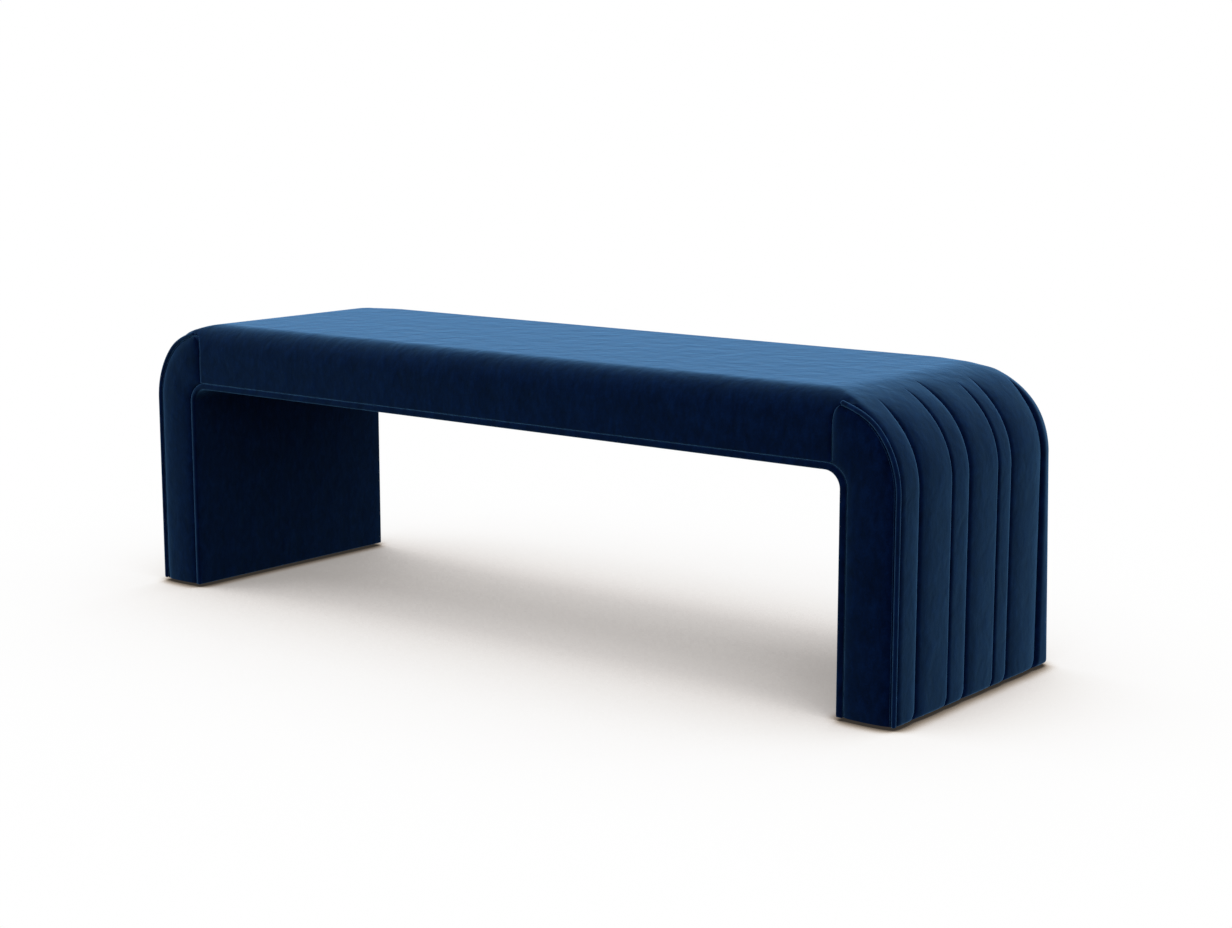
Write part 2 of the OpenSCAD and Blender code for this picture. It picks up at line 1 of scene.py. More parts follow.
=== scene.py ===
"""Looks of the upholstered bench: navy velvet over a padded waterfall frame.

Metres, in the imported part's frame: +X along the bench, the front is -Y, and the
floor is z = 0. Each velvet piece is a closed mesh, built in code from the same
driving sizes as the solids that it replaces.
"""

import math

import bmesh
import bpy
import numpy as np
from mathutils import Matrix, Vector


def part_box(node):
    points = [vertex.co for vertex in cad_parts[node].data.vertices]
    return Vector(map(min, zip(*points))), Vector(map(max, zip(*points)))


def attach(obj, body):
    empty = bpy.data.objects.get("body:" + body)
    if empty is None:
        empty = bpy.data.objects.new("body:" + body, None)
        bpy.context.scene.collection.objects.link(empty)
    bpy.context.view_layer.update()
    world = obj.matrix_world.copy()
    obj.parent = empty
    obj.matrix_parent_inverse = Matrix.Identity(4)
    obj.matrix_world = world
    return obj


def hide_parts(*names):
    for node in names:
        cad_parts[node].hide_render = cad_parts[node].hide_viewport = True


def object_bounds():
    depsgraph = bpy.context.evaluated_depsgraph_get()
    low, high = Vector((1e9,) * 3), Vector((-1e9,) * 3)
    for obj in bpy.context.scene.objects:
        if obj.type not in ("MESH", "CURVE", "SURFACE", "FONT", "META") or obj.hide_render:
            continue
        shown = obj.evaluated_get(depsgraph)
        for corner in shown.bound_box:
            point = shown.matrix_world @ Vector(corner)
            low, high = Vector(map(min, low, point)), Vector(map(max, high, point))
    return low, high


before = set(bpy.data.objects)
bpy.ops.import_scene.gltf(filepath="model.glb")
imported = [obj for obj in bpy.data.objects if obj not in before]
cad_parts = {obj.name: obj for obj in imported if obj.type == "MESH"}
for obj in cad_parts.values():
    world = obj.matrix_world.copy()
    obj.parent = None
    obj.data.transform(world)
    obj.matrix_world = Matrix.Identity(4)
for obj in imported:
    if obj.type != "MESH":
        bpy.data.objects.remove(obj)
cad_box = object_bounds()

# Sizes
MM = 0.001
HALF_L, HALF_D, TOP_Z = cad_box[1]
LEG_T = 95 * MM
SEAT_T = 110 * MM
SHOULDER_R = 135 * MM
OPENING_R = 25 * MM
EDGE_R = 45 * MM            # the seat's round front and back edges
PAD_T = 10 * MM             # velvet and wadding
END_FOAM_T = 12 * MM
COVER_T = 2 * MM
LINER_T = 10 * MM           # liner board and its velvet
LINER_EDGE_R = 3.5 * MM     # rounding of the band's edge on the opening
BAND_ROUND = (6.0 * MM, 3.2 * MM)    # and of its other edge: height and depth
BAND_PROUD = 1.5 * MM       # how far the band stands in front of the seat
PIPING_D = 7 * MM
HEM_D = 2.8 * MM            # the facing's thin corded hem beside the piping
HEM_IN = 1.8 * MM
FACING_REACH = 15 * MM      # how far a facing reaches in past the leg's inner face
GAP = 0.3 * MM
SKIRT_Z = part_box("end_panel_right")[0].z
FRAME_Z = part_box("end_foam_right")[0].z

UNDER_Z = TOP_Z - SEAT_T
LEG_IN = HALF_L - LEG_T
APRON_Z = UNDER_Z + LINER_T + GAP
DECK_Z = TOP_Z - EDGE_R
RIB_Y = HALF_D - PAD_T
PANEL_Y = HALF_D - PIPING_D
SHOULDER_X = HALF_L - SHOULDER_R
SHOULDER_Z = TOP_Z - SHOULDER_R
CORNER_X = LEG_IN - OPENING_R
CORNER_Z = UNDER_Z - OPENING_R
FACING_X = LEG_IN - FACING_REACH
SKIN_OUT = HALF_L - PAD_T - END_FOAM_T
SKIN_R = DECK_Z - SHOULDER_Z
SKIN_X = SKIN_OUT - SKIN_R

# The front piping's tail, where it has sunk a little below the shoulder's edge
TAIL_ANGLE = 71
TAIL_SINK = 5.5 * MM
FADE_ANGLE = 42             # where on the shoulder the piping is back at the edge
TAIL_R = SHOULDER_R - PIPING_D - TAIL_SINK

# The channels: each seam's place between the first and the last, whether it is a
# strong one, and the angle on the shoulder at which it starts (90 is the top)
FRONT_CHANNEL = 59 * MM
BACK_CHANNEL = 40 * MM
SEAM_SHARE = (0, 0.245, 0.387, 0.617, 0.733, 1)
SEAM_STRONG = (True, False, True, False, True, True)
SEAM_START = (65, 71, 76, 67, 67, 61)
SEAM_GROW = 24              # degrees over which a seam comes to its full size
START_WIDTH = 0.45          # a seam's share of its width where it starts
SEAM_Y = [FRONT_CHANNEL + s * (2 * HALF_D - FRONT_CHANNEL - BACK_CHANNEL) - HALF_D
          for s in SEAM_SHARE]
# A seam's depth, how far the channel falls beside it, and the reach of its roll
STRONG = {"depth": 5.8 * MM, "crown": 4.6 * MM, "reach": 8.0 * MM}
FAINT = {"depth": 2.9 * MM, "crown": 1.8 * MM, "reach": 5.5 * MM}
EDGE_CROWN = 1.4 * MM       # how far the outer channels fall beside the piping
FULL_CHANNEL = 90 * MM      # a channel this wide has its seams' whole crown

# Rounding of an end's edges, as width and depth. The back's is wider and deeper on
# the shoulder, and its piping lies further in.
FRONT_EDGE = np.array([11, 4]) * MM
BACK_FOOT_EDGE = np.array([8, 1.5]) * MM
BACK_EDGE = np.array([38, 14]) * MM     # where the shoulder begins
BACK_TAIL_EDGE = np.array([60, 20]) * MM
BACK_FADE = 25              # the angle from which it grows to that of the tail
BACK_INSET = 5 * MM         # the back piping lies this far in,
BACK_FOLLOW = 0.65          # and further by this share of the edge's depth
BACK_WIDEN = 25 * MM        # how much wider the seat's back edge is at the shoulder
WIDEN_REACH = 60 * MM       # and how far before the shoulder that begins

# The seat's round front edge, where it runs out on the shoulder
BULLNOSE_SOFT = 3 * MM      # how softly it does so
BULLNOSE_END = 14           # how many degrees past the piping's tail it is gone
BULLNOSE_LEAN = 0.3         # a ring that leans more is cut as if it leaned this much

# At the floor and along the seams
BACK_CORNER = (7 * MM, 4.9 * MM)    # the back edge's rounded corner: height and depth
BOTTOM_R = 4 * MM           # the panels' round lower edge
FLOOR_PRESS = 0.7           # the share of a channel's depth that is lost there
FLOOR_TURN = 0.4            # the lower edge's share that goes on behind the piping
HOOK_R = 17 * MM            # the channels' rounded corners
HOOK_SHIFT = 0.75 * HOOK_R  # how far they bend towards the front
HOOK_ROOM = 0.9             # the outer channels' share that takes up the bend
SEAM_ROLL = (3.6 * MM, 2.3 * MM)    # the covers' rolled edge at a seam: width and depth
CLEAR = 1.0                 # a height above all that happens at the floor

# Meshes
WELD = 0.01 * MM
SHARP_ANGLE = 50
TINY = 1e-9


# Mesh helpers
def smooth(t):
    t = np.clip(t, 0, 1)
    return t * t * (3 - 2 * t)


def mix(a, b, t):
    return a + (b - a) * t


def roll(s, width, depth):
    """A rounded edge's drop at the distance s in from the edge."""
    t = np.clip(1 - np.asarray(s, float) / width, 0, 1)
    return depth * (1 - np.sqrt(1 - t * t))


def polar(x, z, radius, angle):
    a = math.radians(angle)
    return np.array([x + radius * math.cos(a), z + radius * math.sin(a)])


class Mesh:
    """Collects grids of points and welds what they share into one closed mesh."""

    def __init__(self):
        self.points, self.faces = [], []

    def grid(self, rows):
        rows = np.asarray(rows, float)
        n, m = rows.shape[:2]
        start = len(self.points)
        self.points.extend(map(tuple, rows.reshape(-1, 3)))
        for i in range(n - 1):
            for j in range(m - 1):
                a = start + i * m + j
                self.faces.append((a, a + 1, a + m + 1, a + m))

    def mirrored(self, x=1, y=1):
        other = Mesh()
        other.points = [(p[0] * x, p[1] * y, p[2]) for p in self.points]
        other.faces = list(self.faces)
        return other

    def add(self, other):
        start = len(self.points)
        self.points.extend(other.points)
        self.faces.extend(tuple(start + i for i in f) for f in other.faces)

    def piece(self, name, material):
        """Welds, closes the flat ends and makes the object."""
        mesh = bpy.data.meshes.new(name)
        mesh.from_pydata(self.points, [], self.faces)
        bm = bmesh.new()
        bm.from_mesh(mesh)
        bmesh.ops.remove_doubles(bm, verts=bm.verts, dist=WELD)
        bmesh.ops.dissolve_degenerate(bm, edges=bm.edges, dist=WELD / 10)
        open_edges = [e for e in bm.edges if e.is_boundary]
        if open_edges:
            filled = bmesh.ops.holes_fill(bm, edges=open_edges, sides=0)["faces"]
            bmesh.ops.triangulate(bm, faces=filled)
        bmesh.ops.recalc_face_normals(bm, faces=bm.faces)
        left = sum(not e.is_manifold for e in bm.edges)
        print(f"{name}: {len(bm.verts)} points, {len(bm.faces)} faces, {left} open edges")
        bm.to_mesh(mesh)
        bm.free()
        mesh.shade_smooth()
        mesh.set_sharp_from_angle(angle=math.radians(SHARP_ANGLE))
        mesh.materials.append(material)
        obj = bpy.data.objects.new(name, mesh)
        bpy.context.scene.collection.objects.link(obj)
        return obj


# Materials
class Nodes:
    """A short way to write a node tree."""

    def __init__(self, material):
        material.use_nodes = True
        self.tree = material.node_tree
        self.shader = self.tree.nodes["Principled BSDF"]

    def new(self, kind, **settings):
        node = self.tree.nodes.new(kind)
        for key, value in settings.items():
            setattr(node, key, value)
        return node

    def link(self, source, target):
        self.tree.links.new(source, target)

    def place(self, scale=(1, 1, 1), rotation=(0, 0, 0)):
        """Object coordinates, scaled and turned."""
        coordinates = self.new("ShaderNodeTexCoord")
        mapping = self.new("ShaderNodeMapping")
        mapping.inputs["Scale"].default_value = scale
        mapping.inputs["Rotation"].default_value = rotation
        self.link(coordinates.outputs["Object"], mapping.inputs["Vector"])
        return mapping.outputs["Vector"]

    def noise(self, vector, scale, detail=3, roughness=0.55, distortion=0):
        node = self.new("ShaderNodeTexNoise")
        for key, value in (("Scale", scale), ("Detail", detail),
                           ("Roughness", roughness), ("Distortion", distortion)):
            node.inputs[key].default_value = value
        self.link(vector, node.inputs["Vector"])
        return node.outputs["Fac"]

    def ramp(self, factor, *stops):
        node = self.new("ShaderNodeValToRGB")
        elements = node.color_ramp.elements
        while len(elements) < len(stops):
            elements.new(0.5)
        for element, (place, colour) in zip(elements, stops):
            element.position = place
            element.color = (*colour, 1)
        self.link(factor, node.inputs["Fac"])
        return node.outputs["Color"]

    def span(self, factor, low, high, start=0.0, end=1.0):
        node = self.new("ShaderNodeMapRange")
        node.inputs["From Min"].default_value = start
        node.inputs["From Max"].default_value = end
        node.inputs["To Min"].default_value = low
        node.inputs["To Max"].default_value = high
        self.link(factor, node.inputs["Value"])
        return node.outputs["Result"]

    def math(self, operation, a, b):
        node = self.new("ShaderNodeMath", operation=operation)
        for socket, value in zip(node.inputs, (a, b)):
            if isinstance(value, (int, float)):
                socket.default_value = value
            else:
                self.link(value, socket)
        return node.outputs["Value"]

    def bump(self, height, distance, strength, normal=None):
        node = self.new("ShaderNodeBump")
        node.inputs["Distance"].default_value = distance
        node.inputs["Strength"].default_value = strength
        self.link(height, node.inputs["Height"])
        if normal is not None:
            self.link(normal, node.inputs["Normal"])
        return node.outputs["Normal"]

    def set(self, **values):
        """Constants go on the shader's own sockets, and outputs are linked."""
        for key, value in values.items():
            socket = self.shader.inputs[key.replace("_", " ")]
            if isinstance(value, bpy.types.NodeSocket):
                self.link(value, socket)
            else:
                socket.default_value = value


def new_material(name):
    material = bpy.data.materials.new(name)
    return material, Nodes(material)


# The velvet's nap as it lies, the strokes of a hand in it, and its pile: each has a
# scale, a share in the shade of the colour, and a height
NAP = {"scale": 26, "share": 0.22, "height": 1.7 * MM}
STROKES = {"scale": 110, "share": 0.43, "height": 0.40 * MM}
PILE = {"scale": 420, "share": 0.35, "height": 0.22 * MM}
DEEP_NAVY = np.array([0.0001, 0.0012, 0.0120])
USUAL_NAVY = np.array([0.0003, 0.0033, 0.0240])
PALE_NAVY = np.array([0.0008, 0.0070, 0.0420])
SHEEN_BLUE = (0.143, 0.390, 0.755, 1)
WORN_TOP = 1.7              # how much stronger the nap is on the seat's top


def velvet(name, light=1.0, soft=0.412):
    """Dark navy pile: nearly black face on, light blue at a low angle."""
    material, n = new_material(name)
    cloth = n.place()
    brushed = n.place(scale=(1, 1, 0.5), rotation=(0.3, 0, 0.5))
    nap = n.noise(cloth, NAP["scale"], detail=2, roughness=0.5, distortion=0.3)
    strokes = n.noise(brushed, STROKES["scale"], detail=2, roughness=0.6, distortion=0.2)
    pile = n.noise(cloth, PILE["scale"], detail=3, roughness=0.7)
    shade = n.math("ADD", n.math("MULTIPLY", nap, NAP["share"]),
                   n.math("MULTIPLY", strokes, STROKES["share"]))
    shade = n.math("ADD", shade, n.math("MULTIPLY", pile, PILE["share"]))
    # With light above 1, as on the piping, this base colour is painted lighter: painted light
    # that stands for the light catching the cord
    colour = n.ramp(shade, (0.36, DEEP_NAVY * light), (0.50, USUAL_NAVY * light),
                    (0.64, PALE_NAVY * light))
    # The seat's top has been sat on and stroked, so its nap lies less even
    height = n.new("ShaderNodeSeparateXYZ")
    n.link(n.place(), height.inputs[0])
    top = n.span(height.outputs["Z"], 1, WORN_TOP, TOP_Z - 20 * MM, TOP_Z - 2 * MM)
    normal = n.bump(n.math("MULTIPLY", nap, top), NAP["height"], 0.8)
    normal = n.bump(strokes, STROKES["height"], 0.6, normal)
    normal = n.bump(pile, PILE["height"], 0.6, normal)
    n.set(Base_Color=colour, Roughness=n.span(shade, 0.4, 0.6, 0.3, 0.7), Normal=normal,
          Specular_IOR_Level=0.003, Sheen_Weight=1.0, Sheen_Roughness=soft,
          Sheen_Tint=SHEEN_BLUE)
    return material


def wood(name, light, dark, along, rings):
    """Sawn wood: grain along one axis, growth bands across it."""
    material, n = new_material(name)
    scale = [1, 1, 1]
    scale["XYZ".index(along)] = 0.06
    grain = n.noise(n.place(scale=scale), 90, detail=6, roughness=0.65, distortion=0.4)
    bands = n.noise(n.place(scale=scale), rings, detail=2, distortion=1.2)
    both = n.math("ADD", n.math("MULTIPLY", grain, 0.55), n.math("MULTIPLY", bands, 0.45))
    n.set(Base_Color=n.ramp(both, (0.35, dark), (0.62, light)),
          Roughness=n.span(grain, 0.45, 0.7), Normal=n.bump(grain, 0.3 * MM, 0.4))
    return material


def plywood():
    """Pale veneer faces; the cut edges show the plies."""
    material, n = new_material("birch_plywood")
    grain = n.noise(n.place(scale=(0.05, 1, 1)), 80, detail=6, roughness=0.6, distortion=0.3)
    face = n.ramp(grain, (0.35, (0.42, 0.27, 0.15)), (0.65, (0.62, 0.45, 0.28)))
    wave = n.new("ShaderNodeTexWave", bands_direction="Z")
    wave.inputs["Scale"].default_value = 150
    n.link(n.place(), wave.inputs["Vector"])
    plies = n.ramp(wave.outputs["Fac"], (0.4, (0.30, 0.18, 0.09)), (0.6, (0.60, 0.43, 0.27)))
    blend = n.new("ShaderNodeMix", data_type="RGBA")
    blend.inputs["Factor"].default_value = 0.25
    n.link(face, blend.inputs["A"])
    n.link(plies, blend.inputs["B"])
    n.set(Base_Color=blend.outputs["Result"], Roughness=n.span(grain, 0.5, 0.75),
          Normal=n.bump(grain, 0.25 * MM, 0.4))
    return material


def steel():
    """Zinc-plated steel with a faint spangle."""
    material, n = new_material("zinc_plated_steel")
    spangle = n.noise(n.place(), 700, detail=3)
    n.set(Base_Color=n.ramp(spangle, (0.4, (0.42, 0.41, 0.38)), (0.6, (0.60, 0.59, 0.56))),
          Metallic=1.0, Roughness=n.span(spangle, 0.25, 0.45),
          Normal=n.bump(spangle, 0.05 * MM, 0.3))
    return material


def nylon():
    """Grey nylon, finely grained from its mould."""
    material, n = new_material("grey_nylon")
    grain = n.noise(n.place(), 500, detail=4)
    n.set(Base_Color=n.ramp(grain, (0.4, (0.035, 0.035, 0.038)), (0.6, (0.055, 0.055, 0.06))),
          Roughness=n.span(grain, 0.35, 0.55), Normal=n.bump(grain, 0.08 * MM, 0.4))
    return material


def dust_cloth():
    """Black non-woven cloth with its pattern of small bonding dots."""
    material, n = new_material("black_dust_cloth")
    fibres = n.noise(n.place(), 800, detail=4, roughness=0.7)
    dots = n.new("ShaderNodeTexVoronoi")
    dots.inputs["Scale"].default_value = 450
    n.link(n.place(), dots.inputs["Vector"])
    shade = n.math("ADD", n.math("MULTIPLY", fibres, 0.6),
                   n.math("MULTIPLY", dots.outputs["Distance"], 0.4))
    n.set(Base_Color=n.ramp(shade, (0.3, (0.006, 0.006, 0.007)), (0.7, (0.022, 0.022, 0.024))),
          Roughness=n.span(fibres, 0.8, 0.95), Normal=n.bump(shade, 0.15 * MM, 0.5))
    return material


VELVET = velvet("navy_velvet")
# The piping's velvet has its base colour painted a quarter lighter, as painted light on the
# cord's round top; its softer sheen is the shader's own
PAINTED_LIGHT_PIPING_VELVET = velvet("navy_velvet_piping_painted_lighter", light=1.25, soft=0.46)
DUST = dust_cloth()


# Velvet body
# The seat's cover, its padding and both channelled ends are one padded body, made
# of rings across the bench. A ring has its place on the outline in the X-Z plane,
# the direction in from there, the angle on the shoulder, the place of its inner side
# on the frame, and for its front and back the half depth, the edge's width and depth,
# and on the seat how far down the face beside the facing goes.
def fading(angle, start):
    """0 up to the angle start on the shoulder, and 1 at the piping's tail."""
    return float(smooth((angle - start) / (TAIL_ANGLE - start)))


def edge_size(face, angle, height):
    """Width and depth of the rounding of an end's edge."""
    if face == "front":
        return FRONT_EDGE
    low = 1 - min(1, height / (SHOULDER_Z - SKIRT_Z))
    return mix(mix(BACK_EDGE, BACK_FOOT_EDGE, low), BACK_TAIL_EDGE, fading(angle, BACK_FADE))


def piping_sink(face, angle, height=CLEAR):
    """How far the piping lies inside the end's outline."""
    if face == "front":
        return TAIL_SINK * fading(angle, FADE_ANGLE)
    return BACK_INSET + BACK_FOLLOW * edge_size(face, angle, height)[1]


def tail_curve(p):
    """The facing's seam beside the seat's rounding, from p = 0 to its end at 90."""
    end = polar(SHOULDER_X, SHOULDER_Z, TAIL_R, TAIL_ANGLE)
    a = math.radians(p)
    return np.array([FACING_X + (end[0] - FACING_X) * (1 - math.cos(a)),
                     DECK_Z + (end[1] - DECK_Z) * math.sin(a)])


SEAT_END_ANGLE = math.degrees(math.acos((FACING_X - SHOULDER_X) / SHOULDER_R))
BACK_LOWER = piping_sink("back", TAIL_ANGLE) - TAIL_SINK


def tail_line(p):
    """The ring at p along the tail: its angle, place, direction in and length."""
    angle = mix(SEAT_END_ANGLE, TAIL_ANGLE, p / 90)
    at = polar(SHOULDER_X, SHOULDER_Z, SHOULDER_R, angle)
    low = np.hypot(*(tail_curve(p) - at))
    return angle, at, (tail_curve(p) - at) / low, low


def tail_seam(face, p):
    if face == "front":
        return tail_curve(p)
    _, at, into, low = tail_line(p)
    return at + into * (low + BACK_LOWER * math.sin(math.radians(p)))


SEAM_LINE = {face: np.array([[FACING_X, z] for z in np.linspace(APRON_Z, DECK_Z, 60)]
                            + [tail_seam(face, p) for p in np.linspace(0, 90, 60)])
             for face in ("front", "back")}


def seam_distance(face, x, z):
    line = SEAM_LINE[face]
    return np.hypot(line[:, 0] - x[:, None], line[:, 1] - z[:, None]).min(-1)


def bullnose_reach(z):
    """How far out the seat's round front edge stands at a height."""
    return HALF_D - EDGE_R + math.sqrt(max(0, EDGE_R ** 2 - max(z - DECK_Z, 0) ** 2))


def bullnose_drop(ring, y):
    """How deep the seat's round front edge cuts into a ring at the places y."""
    across = np.clip(-y - (HALF_D - EDGE_R), 0, EDGE_R)
    height = DECK_Z + np.sqrt(EDGE_R ** 2 - across ** 2)
    drop = (ring["at"][1] - height) / max(BULLNOSE_LEAN, -ring["into"][1])
    soft = min(BULLNOSE_SOFT, TOP_Z - ring["at"][1]) + TINY
    return np.where(np.abs(drop) < soft, (drop + soft) ** 2 / (4 * soft), np.maximum(drop, 0))


def rounding(reach, size, low=None):
    """One side of a ring: its half depth, its edge, and its face's drop on the seat."""
    return dict(reach=reach, width=size[0], depth=size[1], low=low)


def seat_ring(x):
    z = SHOULDER_Z + math.sqrt(SHOULDER_R ** 2 - max(x - SHOULDER_X, 0) ** 2)
    low = z - DECK_Z
    wide = EDGE_R + BACK_WIDEN * float(smooth((x - SHOULDER_X + WIDEN_REACH)
                                              / (FACING_X - SHOULDER_X + WIDEN_REACH)))
    return dict(at=np.array([x, z]), into=np.array([0, -1.0]),
                angle=math.degrees(math.atan2(z - SHOULDER_Z, max(x - SHOULDER_X, 0))),
                inner=(x * SKIN_X / FACING_X, DECK_Z),
                front=rounding(HALF_D, (HALF_D - bullnose_reach(z), low), low),
                back=rounding(HALF_D, (wide, low), low))


def skin_point(angle):
    return tuple(polar(SKIN_X, SHOULDER_Z, SKIN_R, 90 * angle / SEAT_END_ANGLE))


def tail_ring(p):
    angle, at, into, low = tail_line(p)
    ring = dict(at=at, into=into, angle=angle, inner=skin_point(angle))
    seam = tail_seam("front", p)
    reach = bullnose_reach(seam[1])
    ring["front"] = rounding(reach, (reach - bullnose_reach(at[1]), low), low)
    last = edge_size("back", TAIL_ANGLE, CLEAR)
    end = np.hypot(*(tail_seam("back", 90) - polar(SHOULDER_X, SHOULDER_Z, SHOULDER_R,
                                                   TAIL_ANGLE)))
    fall = np.hypot(*(tail_seam("back", p) - at))
    t = smooth(p / 90)
    size = (mix(EDGE_R + BACK_WIDEN, last[0], t), fall - (end - last[1]) * t)
    ring["back"] = rounding(mix(HALF_D, PANEL_Y - GAP, t), size, fall)
    return ring


def end_ring(angle, at=None, inner=None, height=CLEAR):
    if at is None:
        at, inner = polar(SHOULDER_X, SHOULDER_Z, SHOULDER_R, angle), skin_point(angle)
    a = math.radians(angle)
    front, back = [rounding(PANEL_Y - GAP, edge_size(face, angle, height))
                   for face in ("front", "back")]
    return dict(at=at, into=-np.array([math.cos(a), math.sin(a)]), angle=angle, inner=inner,
                height=height, front=front, back=back)


def leg_ring(z, inner=None):
    return end_ring(0, np.array([HALF_L, z]), inner or (SKIN_OUT, z), z - SKIRT_Z)


CLOSE_Z = SKIRT_Z + 2.5 * HOOK_R     # below this the rings lie closer together
BODY_RINGS = (
    [seat_ring(x) for x in np.linspace(0, SHOULDER_X, 31)]
    + [seat_ring(x) for x in np.linspace(SHOULDER_X, FACING_X, 9)[1:]]
    + [tail_ring(p) for p in np.linspace(0, 90, 15)[1:]]
    + [end_ring(a) for a in np.linspace(TAIL_ANGLE, 0, 48)[1:]]
    + [leg_ring(z) for z in np.linspace(SHOULDER_Z, CLOSE_Z, 28)[1:]]
    + [leg_ring(z) for z in np.linspace(CLOSE_Z, SKIRT_Z + BOTTOM_R, 16)[1:]]
    + [leg_ring(SKIRT_Z + BOTTOM_R * share) for share in (0.6, 0.33)]
)
# The last rings turn in under the leg, to the edge of the dust cover
LIP_X = HALF_L - PAD_T + GAP
BODY_RINGS += [leg_ring(SKIRT_Z + BOTTOM_R * 0.15, (SKIN_OUT, FRAME_Z + GAP)),
               leg_ring(SKIRT_Z + BOTTOM_R * 0.04, (LIP_X, FRAME_Z + GAP)),
               leg_ring(SKIRT_Z, (LIP_X, SKIRT_Z))]


FRONT_FLAT = PANEL_Y - GAP - FRONT_EDGE[0]
BACK_FLAT = PANEL_Y - GAP - BACK_FOOT_EDGE[0]
NEAR_SEAM = np.array([-9, -6.5, -4.5, -3, -1.8, -0.9, -0.3, 0,
                      0.3, 0.9, 2, 3.5, 5.5, 7.5, 10]) * MM
USUAL_STEP = 8 * MM


def top_places():
    """Where the flat of an end's ring is sampled: close together at the seams."""
    seams = [y + NEAR_SEAM for y in SEAM_Y]
    places = [np.array([-FRONT_FLAT])] + seams + [np.array([BACK_FLAT])]
    filled = []
    for a, b in zip(places, places[1:]):
        filled.extend(a)
        count = max(2, int(round((b[0] - a[-1]) / USUAL_STEP)))
        filled.extend(np.linspace(a[-1], b[0], count + 1)[1:-1])
    filled.extend(places[-1])
    return np.array(filled[1:-1])


TOP_YS = top_places()


def ring_places(ring):
    """Places across a ring: past the first and last seam they follow its edges."""
    y = TOP_YS.copy()
    turn = np.radians(np.linspace(0, 90, 11))
    rims = []
    for sign, edge, usual, seam in ((-1, ring["front"], FRONT_FLAT, SEAM_Y[0] + NEAR_SEAM[0]),
                                    (1, ring["back"], BACK_FLAT, SEAM_Y[-1] + NEAR_SEAM[-1])):
        room = edge["reach"] - abs(seam)
        width = min(edge["width"], room - MM)
        flat = edge["reach"] - width
        outer = sign * y > abs(seam)
        share = (sign * y[outer] - abs(seam)) / (usual - abs(seam))
        y[outer] = sign * (abs(seam) + share * (flat - abs(seam)))
        rims.append(sign * (edge["reach"] - width * (1 - np.cos(turn))))
    return np.concatenate([rims[0], y, rims[1][::-1]])


def channel_depth(y, ring, places):
    """How deep the sewn channels are at the places y across a ring."""
    depth = np.zeros_like(y)
    edge = EDGE_CROWN * float(smooth((SEAM_START[0] - ring["angle"]) / SEAM_GROW))
    walls = [(-ring["front"]["reach"], edge)]
    for place, strong, start in zip(places, SEAM_STRONG, SEAM_START):
        kind = STRONG if strong else FAINT
        grown = float(smooth((start - ring["angle"]) / SEAM_GROW))
        if grown > 0:
            tight = mix(START_WIDTH, 1, grown)
            depth = np.maximum(depth, roll(np.abs(y - place), kind["reach"] * tight,
                                           kind["depth"] * grown))
        walls.append((place, kind["crown"] * grown))
    walls.append((ring["back"]["reach"], edge))
    crown = np.zeros_like(y)
    for (a, ca), (b, cb) in zip(walls, walls[1:]):
        t = (y - a) / (b - a)
        inside = (t >= 0) & (t <= 1)
        bowed = ca * np.clip(1 - 2 * t, 0, 1) ** 3 + cb * np.clip(2 * t - 1, 0, 1) ** 3
        crown = np.where(inside, bowed * min(1, (b - a) / FULL_CHANNEL), crown)
    return depth + crown


def ring_points(ring):
    """A ring's outer points, from its front edge over the top to its back edge."""
    height, front, back = ring.get("height", CLEAR), ring["front"], ring["back"]
    y = ring_places(ring)
    depths = bullnose_drop(ring, y)
    if front["low"] is None:
        # Past the piping's tail the seat's round edge runs out on the shoulder
        depths *= 1 - float(smooth((TAIL_ANGLE - ring["angle"]) / BULLNOSE_END))
        depths = np.maximum(depths, roll(y + front["reach"], front["width"], front["depth"]))
    depths += roll(back["reach"] - y, back["width"], back["depth"])
    # At the floor the back edge's corner is rounded and the channels bend forward
    squeeze = 1 - float(roll(height, *BACK_CORNER)) / back["reach"]
    low = np.clip(1 - height / HOOK_R, 0, 1)
    shift = -HOOK_SHIFT * (1 - math.sqrt(1 - low ** 2))
    places = [(s if s < 0 else s * squeeze) + shift for s in SEAM_Y]
    y = np.where(y > 0, y * squeeze, y)
    ahead = (y + front["reach"]) / (FRONT_CHANNEL * HOOK_ROOM)
    behind = (back["reach"] * squeeze - y) / (BACK_CHANNEL * HOOK_ROOM)
    y = y + shift * smooth(ahead) * smooth(behind)
    pressed = FLOOR_PRESS * np.clip(1 - height / BOTTOM_R, 0, 1)
    depths += channel_depth(y, ring, places) * (1 - pressed)
    depths += float(roll(height, BOTTOM_R, BOTTOM_R))
    front["rim"], back["rim"] = (-y[0], depths[0]), (y[-1], depths[-1])
    x, z = ring["at"][0] + ring["into"][0] * depths, ring["at"][1] + ring["into"][1] * depths
    if front["low"] is not None:
        y = np.where(y < 0, y + seam_sink("front", x, z), y - seam_sink("back", x, z))
    return np.stack([x, y, z], 1)


def seam_sink(face, x, z):
    """How far the velvet sinks at the seams with the facing and with the liner."""
    gap = np.minimum(seam_distance(face, x, z), z - APRON_Z)
    return roll(gap, *SEAM_ROLL)


def face_points(ring, face, depths):
    """Points of the upright front or back face below a ring's rounding."""
    x = ring["at"][0] + ring["into"][0] * depths
    z = ring["at"][1] + ring["into"][1] * depths
    y = ring[face]["reach"] - seam_sink(face, x, z)
    return np.stack([x, -y if face == "front" else y, z], 1)


